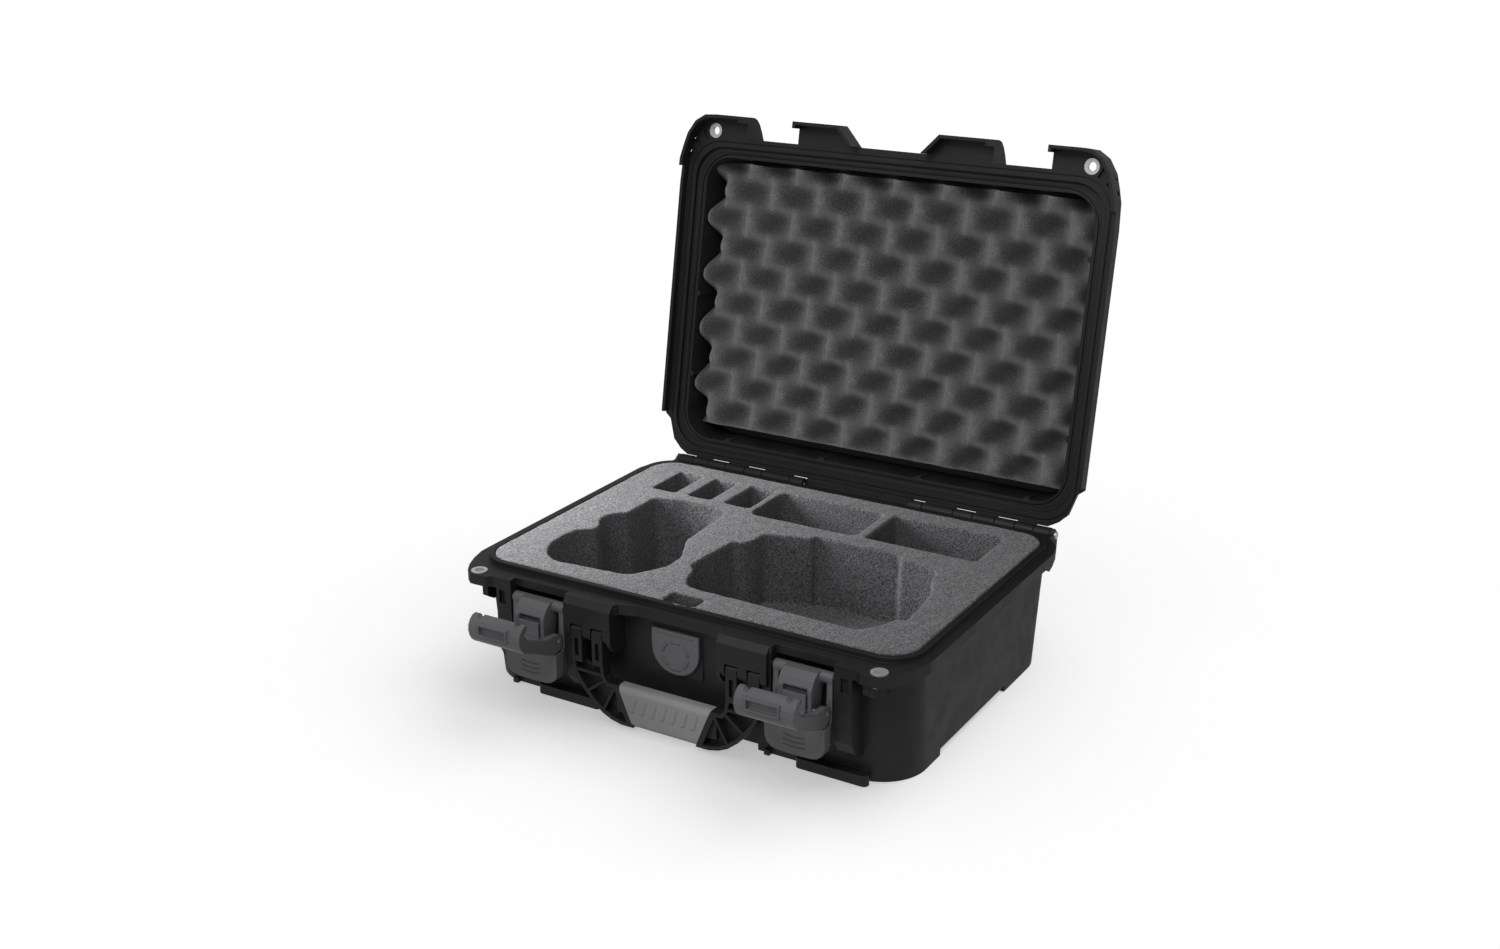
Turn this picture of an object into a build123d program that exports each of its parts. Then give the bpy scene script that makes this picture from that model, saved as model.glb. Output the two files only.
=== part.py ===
from build123d import *
import os

# Moulded carrying case with foam insert, lid open.  Millimetres.
# X right, Y back, Z up, origin on the underside centre.

# ---- case body -------------------------------------------------------------
TOP_HX, TOP_HY, TOP_R = 171.0, 121.0, 27.0
FOOT_HX, FOOT_HY, FOOT_R = 168.5, 118.5, 33.0
WALL_TOP_Z = 79.5
PART_Z = 88.0
RIM_Z = 91.5
OPEN_HX, OPEN_HY, OPEN_R = 167.5, 117.0, 21.0
FLOOR_HX, FLOOR_HY, FLOOR_R = 165.0, 114.5, 27.0
FLOOR_Z = 4.0
STEP_Z = 8.5
STEP_HX, STEP_HY = 158.0, 108.0
RIDGE_HX, RIDGE_HY = 171.3, 120.8
FLANGE_Z0 = 80.0
BAY_FLANGE_Z0 = 82.0
RELIEF_H = 5.0
FRONT_RELIEF_HALF, REAR_RELIEF_HALF = 61.0, 67.0
SIDE_RELIEF_Y0, SIDE_RELIEF_Y1 = -64.0, 42.0
BAY_X0, BAY_X1 = 81.7, 127.3
LEDGE_Y, LEDGE_H, LEDGE_END_R = -126.5, 7.5, 3.5

BASE_EDGE = [
    (0, -127), (28, -127), (40, -131), (42, -136), (BAY_X0, -136), (BAY_X0, -130.5),
    (BAY_X1, -130.5), (BAY_X1, -137), (143, -137), (147, -140), (160.5, -140),
    (165.5, -136), (170.5, -128), (174.8, -118), (178.4, -105), (178.6, -95),
    (178.6, 98), (176.5, 107), (172, 116), (165, 124), (158, 128.4), (0, 128.4),
]

# ---- lid, in its closed position -------------------------------------------
LID_PART_Z = 88.2
LID_PLATE_Z = 92.0
LID_COLLAR_HX, LID_COLLAR_HY, LID_COLLAR_R = 173.8, 123.6, 29.0
LID_COLLAR_Z = 96.5
LID_WALL_HX, LID_WALL_HY, LID_WALL_R = 170.5, 120.5, 27.0
LID_TOP_HX, LID_TOP_HY, LID_TOP_R = 166.0, 116.0, 27.0
LID_TOP_Z = 129.5
LID_TOP_ROUND = 5.0
LID_SKIN = 3.5
LID_OPEN_HX, LID_OPEN_HY, LID_OPEN_R = 164.0, 113.5, 20.0
RECESS_HX, RECESS_HY, RECESS_R = 171.9, 121.6, 25.5
GASKET_HX, GASKET_HY, GASKET_R = 171.0, 120.5, 24.5
GASKET_W = 3.0
GASKET_Z0, GASKET_Z1 = 91.8, 94.0
OUTER_GROOVES = [(176.2, 0.9, 88.2), (167.0, 1.2, 92.0)]
GROOVE_INSET, GROOVE_R, GROOVE_W = 50.3, 26.5, 0.9
SKIRT_T = 2.6
LID_BOSS_R = 2.6
LID_BOSSES = [
    (164, 63), (164, -3), (164, -68), (-164, 63), (-164, -3),
    (-124, 113.5), (-37, 113.5), (48, 113.5), (137, 113.5),
]
SIDE_SKIRT_Z = 81.2
FRONT_SKIRT_Z = 76.2
OPEN_ANGLE = 100.57

LID_GAP_X0, LID_GAP_X1 = 81.5, 127.5
LID_EDGE = [
    (0, -131), (28, -131), (42, -146), (LID_GAP_X0, -146), (LID_GAP_X0, -129), (LID_GAP_X1, -129),
    (LID_GAP_X1, -146), (150, -146), (160.5, -145.3), (169, -140), (175.5, -130),
    (178.5, -120), (181, -110), (182, -90), (182, 98), (177, 102), (172, 118),
    (165, 125), (158, 129), (0, 129),
]

# ---- hinge -----------------------------------------------------------------
HINGE_Y, HINGE_Z = 134.05, 86.5
KNUCKLE_R = 5.0
BRIDGE_HALF = 45.6
BRIDGE_HOLLOWS = (-24, 0, 24)
EAR_X0, EAR_X1 = 157.5, 165.0
PIN_HEAD_R, PIN_HEAD_T = 2.8, 1.5
HINGE_PIN_R = 1.5
BASE_KNUCKLES = [(46, 58), (84, 100), (118, 134), (149, 162)]
LID_KNUCKLES = [(58, 84), (100, 118), (134, 149)]
KNUCKLE_GAP = 0.35

# ---- eyelets for padlocks --------------------------------------------------
EYELET_X, EYELET_Y = 157.1, -133.5
EYELET_R, EYELET_HOLE_R, EYELET_SEAT_R = 5.8, 3.3, 4.6
EYELET_RIM_T = 0.6
CORNER_X, CORNER_Y = 149.7, -99.4
CORNER_SLOTS = (-30, -46, -62)
SLOT_REACH, SLOT_LENGTH, SLOT_WIDTH, SLOT_DEPTH = 34.0, 8.5, 3.0, 2.4

# ---- latches ---------------------------------------------------------------
LATCH_X = 104.5
LEVER_Y, LEVER_Z = -133.0, 75.5
LEVER_BARREL_R = 4.0
LEVER_HALF = 21.5
BLOCK_HALF = 12.3
CLAW_Y, CLAW_Z = -143.0, 55.0
CHEEK_IN, CHEEK_OUT = 17.0, 21.5
PADDLE_HALF = 21.8
PADDLE_FACE_Y, PADDLE_BACK_Y, PADDLE_RIM_Y = -147.0, -142.6, -138.5
PADDLE_HOLLOW = (-18.5, 18.5, -143.0, -138.0, 26.0, 60.0)
GROOVE_Z, GROOVE_RADII = 68.0, (33.0, 36.5, 40.0)
LOCK_POCKET = (-8.3, 9.3, -148.0, -143.9, 57.4, 70.6)
LOCK_OFFSET = 0.5
LOCK_SCOOP_R = 7.4
NOTCH_X, NOTCH_OUT, NOTCH_UP, NOTCH_R = 15.2, 36.8, 25.6, 2.1
WINDOW_X0, WINDOW_X1, WINDOW_OUT, WINDOW_UP0, WINDOW_UP1 = -12.0, 10.0, 40.4, 14.4, 20.6
WINDOW_RIM, WINDOW_RIM_OUT = 1.5, 43.2
PARTING_UP0, PARTING_UP1, PARTING_OUT = 9.6, 10.5, 40.6
PIN_R = 1.5
FIXED_GAP = 0.01
RUN_GAP = 0.06

# ---- handle ----------------------------------------------------------------
HANDLE_Y, HANDLE_Z = -135.5, 64.5
HANDLE_KNUCKLE_R = 4.3
FINGERS = [(49, 57.5), (66, 74.5)]
TINES = [(42, 48.3), (58.3, 65.2), (75, 80)]
GRIP_TOP_HALF, GRIP_FOOT_HALF = 37.0, 25.0
GRIP_TOP_Z, GRIP_FOOT_Z = 31.5, 2.5
GRIP_Y0, GRIP_Y1 = -140.0, -128.0
GRIP_ROUND = 4.5
GRIP_RIDGES, GRIP_PITCH, RIDGE_R, RIDGE_LENGTH, RIDGE_TILT = 7, 8.2, 2.3, 11.0, 16
ARM_Y0, ARM_Y1, ARM_WEB_Y = -139.7, -131.3, -134.0
ARM_RIBS = [(60.5, 36, 0), (57.5, 25, 38), (46, 17, 62)]
ARM_RIB_T = 1.8
CORE = (-40.0, 40.0, -137.0, ARM_Y1, 10.0, 24.0)
CORE_GAP = 0.05
FINGER_SLOT_HALF = 1.6
CROTCH_X, CROTCH_Z, CROTCH_R = 61.75, 43.5, 4.25

# ---- pressure valve --------------------------------------------------------
VALVE_Z = 60.0
PAD_Y = -121.2
COVER_RING_Z = 56.5
VALVE_SEAT_R = 9.0
VALVE_TUBE_R = 6.4
VALVE_FACE_R, VALVE_BORE_R = 5.5, 3.0
ORING_R, ORING_HOLE_R = 8.6, 7.2
MEMBRANE_R = 5.4
COVER_T, COVER_RING_T = 2.9, 0.7
COVER_RING_R, COVER_RING_W = 10.8, 1.6
COVER_POCKET_R = 7.0
PAD_HALF, PAD_Z0, PAD_Z1 = 20.0, 41.0, 75.0

# ---- foam ------------------------------------------------------------------
FOAM_GAP = 0.4
PAD_TOP_Z = 14.7
INSERT_Z = 15.0
LID_FOAM = (-161.0, 161.0, -109.5, 103.0)
LID_FOAM_Z0, LID_FOAM_Z1 = 93.0, 125.4
LID_FOAM_R = 24.0

DRONE_POCKET = [
    (-125, 40), (-100, 47), (-80, 47), (-62, 43), (-59.5, 18), (-58, -20),
    (-44, -48), (-43, -67), (-58, -93), (-111, -98), (-118, -98), (-129, -92),
    (-136, -82), (-140, -70), (-140.5, -60), (-138, -44), (-132, -39), (-127, -36),
    (-129, -28), (-135, -20), (-136, -10), (-133, -2), (-126, 3), (-125, 5),
]
CONTROLLER_POCKET = [
    (-30, -58), (-28, -20), (-26, -5), (-19, -4), (-15, 5), (-14, 18), (0, 23),
    (20, 27.5), (20.5, 33), (89, 32.5), (92, 27), (110, 24), (124, 19.5), (127, 2),
    (133, -7), (136, -17), (139, -40), (141, -63), (134, -65), (131, -75),
    (126, -84), (119, -92), (0, -90), (-13, -88), (-20, -77), (-23, -63),
]
ACCESSORY_POCKET = [
    (-41, 48), (40, 48), (44, 52), (44, 95), (40, 99), (-41, 99), (-45, 95), (-45, 52),
]
BATTERY_SLOTS = [(-139, -118), (-106, -86), (-73, -51)]
BATTERY_Y = (57, 99)
HUB_POCKET = (52, 140, 49, 99)
NOTCH_POCKET = (-15, 11, -120, -102)
DRONE_FLOOR_Z = 31.5
CONTROLLER_FLOOR_Z = 36.5
BATTERY_FLOOR_Z = 41.5
ACCESSORY_FLOOR_Z = 36.5
HUB_FLOOR_Z = 31.5
NOTCH_FLOOR_Z = 46.5


# ---- small helpers ---------------------------------------------------------
def box(x0, x1, y0, y1, z0, z1):
    at = Pos((x0 + x1) / 2, (y0 + y1) / 2, (z0 + z1) / 2)
    return at * Box(x1 - x0, y1 - y0, z1 - z0)


def rod_x(x0, x1, y, z, r):
    return Pos((x0 + x1) / 2, y, z) * Rot(0, 90, 0) * Cylinder(r, x1 - x0)


def rod_y(x, y0, y1, z, r):
    return Pos(x, (y0 + y1) / 2, z) * Rot(90, 0, 0) * Cylinder(r, y1 - y0)


def rod_z(x, y, z0, z1, r):
    return Pos(x, y, (z0 + z1) / 2) * Cylinder(r, z1 - z0)


def poly(points):
    return make_face(Polyline(*points, close=True))


def plate(points, z0, z1):
    return extrude(Pos(0, 0, z0) * poly(points), z1 - z0)


def profile_yz(points, x0, x1):
    plane = Plane(origin=(x0, 0, 0), x_dir=(0, 1, 0), z_dir=(1, 0, 0))
    return extrude(plane * poly(points), x1 - x0)


def profile_xz(points, y0, y1):
    plane = Plane(origin=(0, y1, 0), x_dir=(1, 0, 0), z_dir=(0, -1, 0))
    return extrude(plane * poly(points), y1 - y0)


def rounded(hx, hy, r, z):
    return Pos(0, 0, z) * RectangleRounded(2 * hx, 2 * hy, r)


def tray(lower, z0, upper, z1):
    return loft([rounded(*lower, z0), rounded(*upper, z1)])


def slab(hx, hy, r, z0, z1):
    return extrude(rounded(hx, hy, r, z0), z1 - z0)


def both_sides(right_half):
    left = [(-x, y) for x, y in reversed(right_half) if x > 0]
    return right_half + left


def span(side, x0, x1):
    return (side * x0, side * x1) if side > 0 else (-x1, -x0)


def opened(shape):
    hinge = Axis((0, HINGE_Y, HINGE_Z), (-1, 0, 0))
    return shape.rotate(hinge, OPEN_ANGLE)


# ---- base ------------------------------------------------------------------
def base_knuckle(side, x0, x1):
    a, b = span(side, x0 + KNUCKLE_GAP, x1 - KNUCKLE_GAP)
    web = [
        (120, 66), (126, 68), (135, 79), (HINGE_Y + KNUCKLE_R, HINGE_Z),
        (HINGE_Y - 2, HINGE_Z + 1.4), (126, PART_Z), (120, PART_Z),
    ]
    return rod_x(a, b, HINGE_Y, HINGE_Z, KNUCKLE_R) + profile_yz(web, a, b)


def hinge_ear(side):
    ear = [
        (120, 64), (127, 60), (134, 63), (138.4, 71), (139.2, 82), (137.5, 88.5),
        (HINGE_Y, HINGE_Z + KNUCKLE_R), (130.4, PART_Z), (120, PART_Z),
    ]
    return profile_yz(ear, *span(side, EAR_X0, EAR_X1))


def hinge_bridge():
    outline = [
        (120, 72), (127, 72), (136.5, 80), (144, 84.5), (144, 89.2), (137, 90.6),
        (135.8, 86.6), (131, 85), (127, 85), (120, 85),
    ]
    bridge = profile_yz(outline, -BRIDGE_HALF, BRIDGE_HALF)
    for x in BRIDGE_HOLLOWS:
        bridge -= box(x - 10, x + 10, 128.6, 134, 70, 82.5)
    return bridge


def hinge_pin(side):
    pin = rod_x(*span(side, 46.2, EAR_X1 + PIN_HEAD_T), HINGE_Y, HINGE_Z, HINGE_PIN_R)
    head = rod_x(*span(side, EAR_X1 + FIXED_GAP, EAR_X1 + PIN_HEAD_T), HINGE_Y, HINGE_Z, PIN_HEAD_R)
    return pin + head


def latch_bay(side):
    outer_rib = [
        (-117, 86), (-137, 86), (-137, 42), (-135.5, 33), (-131.5, 25), (-126, 20),
        (-117, 19.5),
    ]
    inner_rib = [
        (-117, 87), (-136, 87), (-137, 84), (-137, 36), (-135, 26), (-129, 18),
        (-117, 15.5),
    ]
    lug = [(-116, 82), (-137, 82), (-137, 72), (-131, 68), (-116, 66)]
    bay = profile_yz(outer_rib, *span(side, BAY_X1, 140))
    bay += profile_yz(inner_rib, *span(side, 75, BAY_X0))
    bay += profile_yz(lug, *span(side, 147.5, 156))
    window = box(*span(side, 132, 137.5), -138, -134.5, 69, 79)
    return bay - window


def handle_mount(side):
    head = [(-117, PART_Z), (-136, PART_Z), (-140, 83.5), (-140, 69.5), (-117, 69.5)]
    tine = [(-117, 70), (-140, 70), (-140, 62.5), (-138, 59.5), (-117, 59.5)]
    cheek = [(-117, 70), (-140, 70), (-140, 60), (-136, 54), (-128, 52.5), (-117, 52.5)]
    block = profile_yz(head, *span(side, 42, 80))
    block += profile_yz(cheek, *span(side, 42, 45))
    for x0, x1 in TINES:
        block += profile_yz(tine, *span(side, x0, x1))
    hollow = box(*span(side, 49, 73), -136, -123, 74, 84)
    return block - hollow


def foot_ledges(centre):
    ledge = box(centre - 8, centre + 38, LEDGE_Y, -115, 0, LEDGE_H)
    for x in (centre - 8, centre + 38):
        ledge += rod_z(x, LEDGE_Y + LEDGE_END_R, 0, LEDGE_H, LEDGE_END_R)
    nub = box(centre - 37, centre - 33, -122, -115, 0, 4)
    return ledge + nub


def base_shell():
    body = tray((FOOT_HX, FOOT_HY, FOOT_R), 0, (TOP_HX, TOP_HY, TOP_R), WALL_TOP_Z)
    body += slab(TOP_HX, TOP_HY, TOP_R, WALL_TOP_Z, PART_Z)
    body += slab(RIDGE_HX, RIDGE_HY, 24.8, PART_Z - 1, RIM_Z)
    flange = plate(both_sides(BASE_EDGE), FLANGE_Z0, PART_Z)
    body += flange
    body += box(-PAD_HALF, PAD_HALF, PAD_Y, -116, PAD_Z0, PAD_Z1)
    for side in (-1, 1):
        body -= box(*span(side, BAY_X0, BAY_X1), -131, -TOP_HY, 79, BAY_FLANGE_Z0)
        body += latch_bay(side)
        body += handle_mount(side)
        body += foot_ledges(side * LATCH_X)
        for x0, x1 in BASE_KNUCKLES:
            body += base_knuckle(side, x0, x1)
        body += hinge_ear(side)
    body += hinge_bridge()
    body -= tray((FLOOR_HX, FLOOR_HY, FLOOR_R), STEP_Z, (OPEN_HX, OPEN_HY, OPEN_R), RIM_Z + 0.01)
    body -= slab(STEP_HX, STEP_HY, 22, FLOOR_Z, STEP_Z + 1)
    for side in (-1, 1):
        body -= box(*span(side, 161.5, 175), SIDE_RELIEF_Y0, SIDE_RELIEF_Y1, -1, RELIEF_H)
        body -= rod_z(side * EYELET_X, EYELET_Y, 78, 90, EYELET_SEAT_R + FIXED_GAP)
        body -= rod_z(side * EYELET_X, EYELET_Y, 60, FLANGE_Z0, EYELET_R + 0.2)
        body -= rod_x(*span(side, 45.8, EAR_X1 + 1), HINGE_Y, HINGE_Z, HINGE_PIN_R + FIXED_GAP)
        body -= rod_x(*span(side, 43.8, 79), HANDLE_Y, HANDLE_Z, PIN_R + FIXED_GAP)
        body -= rod_x(*span(side, 78.4, 130.6), LEVER_Y, LEVER_Z, PIN_R + FIXED_GAP)
    body -= box(-FRONT_RELIEF_HALF, FRONT_RELIEF_HALF, -120.5, -111.5, -1, RELIEF_H)
    body -= box(-REAR_RELIEF_HALF, REAR_RELIEF_HALF, 111.5, 125, -1, RELIEF_H)
    body -= rod_y(0, PAD_Y - 1, PAD_Y + 3.2, VALVE_Z, VALVE_SEAT_R)
    body -= rod_y(0, PAD_Y - 1, -110, VALVE_Z, VALVE_TUBE_R + 0.1)
    return body


def eyelet(side, z0, z1):
    ring = rod_z(side * EYELET_X, EYELET_Y, z0 + EYELET_RIM_T, z1 - EYELET_RIM_T, EYELET_SEAT_R)
    for z in (z0, z1 - EYELET_RIM_T):
        ring += rod_z(side * EYELET_X, EYELET_Y, z, z + EYELET_RIM_T, EYELET_R)
    return ring - rod_z(side * EYELET_X, EYELET_Y, z0 - 1, z1 + 1, EYELET_HOLE_R)


def base_foam_pad():
    return slab(STEP_HX - FOAM_GAP, STEP_HY - FOAM_GAP, 21, FLOOR_Z, PAD_TOP_Z)


def base_foam_insert():
    lower = (FLOOR_HX - FOAM_GAP, FLOOR_HY - FOAM_GAP, FLOOR_R)
    upper = (OPEN_HX - FOAM_GAP, OPEN_HY - FOAM_GAP, OPEN_R)
    foam = tray(lower, INSERT_Z, upper, RIM_Z)
    foam -= plate(DRONE_POCKET, DRONE_FLOOR_Z, RIM_Z + 1)
    foam -= plate(CONTROLLER_POCKET, CONTROLLER_FLOOR_Z, RIM_Z + 1)
    foam -= plate(ACCESSORY_POCKET, ACCESSORY_FLOOR_Z, RIM_Z + 1)
    for x0, x1 in BATTERY_SLOTS:
        foam -= box(x0, x1, *BATTERY_Y, BATTERY_FLOOR_Z, RIM_Z + 1)
    foam -= box(*HUB_POCKET, HUB_FLOOR_Z, RIM_Z + 1)
    foam -= box(*NOTCH_POCKET, NOTCH_FLOOR_Z, RIM_Z + 1)
    return foam


# ---- pressure valve --------------------------------------------------------
def valve_housing():
    front = PAD_Y + 0.1
    body = rod_y(0, front, front + 2, VALVE_Z, VALVE_SEAT_R - 0.05)
    body += rod_y(0, front + 2, -116.6, VALVE_Z, VALVE_TUBE_R)
    body -= rod_y(0, front - 1, front + 0.8, VALVE_Z, VALVE_FACE_R)
    return body - rod_y(0, front - 1, -110, VALVE_Z, VALVE_BORE_R)


def valve_oring():
    ring = rod_y(0, PAD_Y + 2.1, PAD_Y + 3.2, VALVE_Z, ORING_R)
    return ring - rod_y(0, PAD_Y + 1, PAD_Y + 4, VALVE_Z, ORING_HOLE_R)


def valve_membrane():
    return rod_y(0, PAD_Y + 0.4, PAD_Y + 0.9, VALVE_Z, MEMBRANE_R)


def valve_cover():
    shield = [
        (-18.7, 73.5), (18.7, 73.5), (18.7, 60), (18, 55.5), (16.2, 51.2), (13, 47.2),
        (8.8, 44.2), (4.5, 42.7), (0, 42.3), (-4.5, 42.7), (-8.8, 44.2), (-13, 47.2),
        (-16.2, 51.2), (-18, 55.5), (-18.7, 60),
    ]
    face = PAD_Y - COVER_T
    cover = profile_xz(shield, face, PAD_Y)
    ring = rod_y(0, face - COVER_RING_T, face, COVER_RING_Z, COVER_RING_R)
    ring -= rod_y(0, face - 1, face + 1, COVER_RING_Z, COVER_RING_R - COVER_RING_W)
    for turn in (0, 60, 120):
        ring -= Pos(0, face, COVER_RING_Z) * Rot(0, turn, 0) * Box(30, 3, 3.4)
    cover += ring
    cover += box(-14, 14, face - 0.4, face, 71.2, 72.4)
    cover -= rod_y(0, PAD_Y - 1, PAD_Y + 1, VALVE_Z, COVER_POCKET_R)
    return cover


# ---- lid -------------------------------------------------------------------
def lid_knuckle(side, x0, x1):
    a, b = span(side, x0 + KNUCKLE_GAP, x1 - KNUCKLE_GAP)
    web = [
        (121, LID_PART_Z), (HINGE_Y - 5, LID_PART_Z), (HINGE_Y, HINGE_Z),
        (HINGE_Y, HINGE_Z + KNUCKLE_R), (121, HINGE_Z + KNUCKLE_R),
    ]
    return rod_x(a, b, HINGE_Y, HINGE_Z, KNUCKLE_R) + profile_yz(web, a, b)


def lid_skirts():
    edge = poly(both_sides(LID_EDGE))
    ring = edge - offset(edge, -SKIRT_T, kind=Kind.INTERSECTION)
    front = extrude(Pos(0, 0, FRONT_SKIRT_Z) * ring, LID_PLATE_Z - FRONT_SKIRT_Z)
    side_z = extrude(Pos(0, 0, SIDE_SKIRT_Z) * ring, LID_PLATE_Z - SIDE_SKIRT_Z)
    skirts = []
    for side in (-1, 1):
        skirts.append(front & box(*span(side, 30, LID_GAP_X0), -150, -140.8, 70, 100))
        skirts.append(front & box(*span(side, LID_GAP_X1, 190), -150, -140.8, 70, 100))
        skirts.append(front & box(*span(side, 150, 190), -141, -104, 70, 100))
        skirts.append(front & box(*span(side, 27, 43), -150, -131.2, 70, 100))
        skirts.append(side_z & box(*span(side, 176, 190), -106, 96, 70, 100))
    return skirts


def lid_gussets():
    fin = [
        (-114, 91), (-146, 91), (-146, 97), (-144.6, 102), (-141, 106.5), (-135, 111),
        (-128, 115), (-121, 119.5), (-114, 123),
    ]
    fins = []
    for side in (-1, 1):
        for x0 in (LID_GAP_X0 - SKIRT_T, LID_GAP_X1):
            fins.append(profile_yz(fin, *span(side, x0, x0 + SKIRT_T)))
    return fins


def corner_slots():
    slots = []
    for side in (-1, 1):
        for turn in CORNER_SLOTS:
            angle = turn if side > 0 else 180 - turn
            at = Pos(side * CORNER_X, CORNER_Y, LID_PART_Z) * Rot(0, 0, angle)
            slots.append(at * Pos(SLOT_REACH, 0, 0) * Box(SLOT_LENGTH, SLOT_WIDTH, 2 * SLOT_DEPTH))
    return slots


def lid_shell_closed():
    wall = (LID_WALL_HX, LID_WALL_HY, LID_WALL_R)
    top = (LID_TOP_HX, LID_TOP_HY, LID_TOP_R)
    dome = tray(wall, LID_COLLAR_Z, top, LID_TOP_Z)
    dome = fillet(dome.faces().sort_by(Axis.Z)[-1].edges(), LID_TOP_ROUND)
    collar = slab(LID_COLLAR_HX, LID_COLLAR_HY, LID_COLLAR_R, LID_PART_Z, LID_COLLAR_Z)
    body = dome + collar + plate(both_sides(LID_EDGE), LID_PART_Z, LID_PLATE_Z)
    for piece in lid_skirts() + lid_gussets():
        body += piece
    for side in (-1, 1):
        for x0, x1 in LID_KNUCKLES:
            body += lid_knuckle(side, x0, x1)
    inner_top = (LID_TOP_HX - LID_SKIN, LID_TOP_HY - LID_SKIN, LID_TOP_R - LID_SKIN)
    body -= tray(
        (LID_OPEN_HX, LID_OPEN_HY, LID_OPEN_R), LID_PART_Z - 1,
        (inner_top[0] - 1, inner_top[1] - 1, inner_top[2]), LID_TOP_Z - LID_SKIN,
    )
    body -= slab(RECESS_HX, RECESS_HY, RECESS_R, LID_PART_Z - 1, LID_PLATE_Z)
    groove = slab(GASKET_HX, GASKET_HY, GASKET_R, LID_PART_Z, GASKET_Z1 + 0.1)
    inner = (GASKET_HX - GASKET_W, GASKET_HY - GASKET_W, GASKET_R - GASKET_W)
    groove -= slab(*inner, LID_PART_Z - 1, GASKET_Z1 + 1)
    body -= groove
    for hx, depth, top in OUTER_GROOVES:
        hy = hx - GROOVE_INSET
        ring = slab(hx, hy, GROOVE_R, top - 5, top + depth)
        body -= ring - slab(hx - GROOVE_W, hy - GROOVE_W, GROOVE_R - GROOVE_W, top - 6, top + 6)
    for slot in corner_slots():
        body -= slot
    for x, y in LID_BOSSES:
        body += rod_z(x, y, 92.5, 112, LID_BOSS_R)
    for side in (-1, 1):
        body -= rod_z(side * EYELET_X, EYELET_Y, 80, 95, EYELET_SEAT_R + FIXED_GAP)
        body -= rod_z(side * EYELET_X, EYELET_Y, 80, LID_PART_Z + 1.2, EYELET_R + 0.1)
        body -= rod_x(*span(side, 45, 163), HINGE_Y, HINGE_Z, HINGE_PIN_R + RUN_GAP)
    return body


def lid_gasket():
    hx, hy, r = GASKET_HX - 0.15, GASKET_HY - 0.15, GASKET_R - 0.15
    ring = slab(hx, hy, r, GASKET_Z0, GASKET_Z1)
    width = GASKET_W - 0.3
    return ring - slab(hx - width, hy - width, r - width, GASKET_Z0 - 1, GASKET_Z1 + 1)


def lid_foam():
    x0, x1, y0, y1 = LID_FOAM
    sheet = box(x0, x1, y0, y1, LID_FOAM_Z0, LID_FOAM_Z1)
    return fillet(sheet.edges().filter_by(Axis.Z), LID_FOAM_R)


# ---- latches ---------------------------------------------------------------
def lever_groove(centre, radius):
    foot = Pos(centre, PADDLE_FACE_Y, GROOVE_Z)
    ring = foot * Rot(90, 0, 0) * (Cylinder(radius + 0.5, 1) - Cylinder(radius - 0.5, 1))
    return ring & box(centre - 8, centre + 8, -148, -146, 20, 50)


def latch_lever(centre):
    block = [
        (-133, 79.5), (-139, 79.2), (-143.5, 76), (-147, 70), (-147, 44), (-141.5, 44),
        (-134, 54), (-131.5, 66), (-129.2, 74.5),
    ]
    strut = [
        (-131, 75.5), (-136.3, 75.5), (-137, 58), (-137, 49), (-139, 46),
        (-147, 46), (-147, 43), (-140, 41), (-133.5, 47),
    ]
    blade = [
        (-PADDLE_HALF, 46), (PADDLE_HALF, 46), (PADDLE_HALF, 31), (20.2, 26.5),
        (16.5, 23.6), (12, 22.6), (0, 22.2), (-12, 22.6), (-16.5, 23.6),
        (-20.2, 26.5), (-PADDLE_HALF, 31),
    ]
    lever = rod_x(centre - LEVER_HALF, centre + LEVER_HALF, LEVER_Y, LEVER_Z, LEVER_BARREL_R)
    lever += profile_yz(block, centre - BLOCK_HALF, centre + BLOCK_HALF)
    for side in (-1, 1):
        x0, x1 = sorted((centre + side * 17.5, centre + side * CHEEK_OUT))
        lever += profile_yz(strut, x0, x1)
    lever += Pos(centre, 0, 0) * profile_xz(blade, PADDLE_FACE_Y, PADDLE_BACK_Y)
    rim = profile_xz(blade, PADDLE_BACK_Y, PADDLE_RIM_Y) - box(*PADDLE_HOLLOW)
    lever += Pos(centre, 0, 0) * rim
    for radius in GROOVE_RADII:
        lever -= lever_groove(centre, radius)
    lever -= Pos(centre, 0, 0) * box(*LOCK_POCKET)
    lever -= rod_x(centre - 30, centre + 30, LEVER_Y, LEVER_Z, PIN_R + RUN_GAP)
    return lever - rod_x(centre - 30, centre + 30, CLAW_Y, CLAW_Z, PIN_R + RUN_GAP)


def slide_lock(centre):
    x = centre + LOCK_OFFSET
    scoop = box(x - 8.5, x + 8.5, -148.6, -147.2, 53, 67.5)
    scoop += box(x - 8.5, x + 8.5, -150, -148.6, 53, 56)
    stem = box(x - 7.8, x + 7.8, -147.2, -144.2, 57.8, 66)
    dish = rod_x(x - 6, x + 6, -155.4, 62.5, LOCK_SCOOP_R)
    return scoop + stem - dish


def claw_line(points):
    return [(CLAW_Y - out, CLAW_Z + up) for out, up in points]


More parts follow.
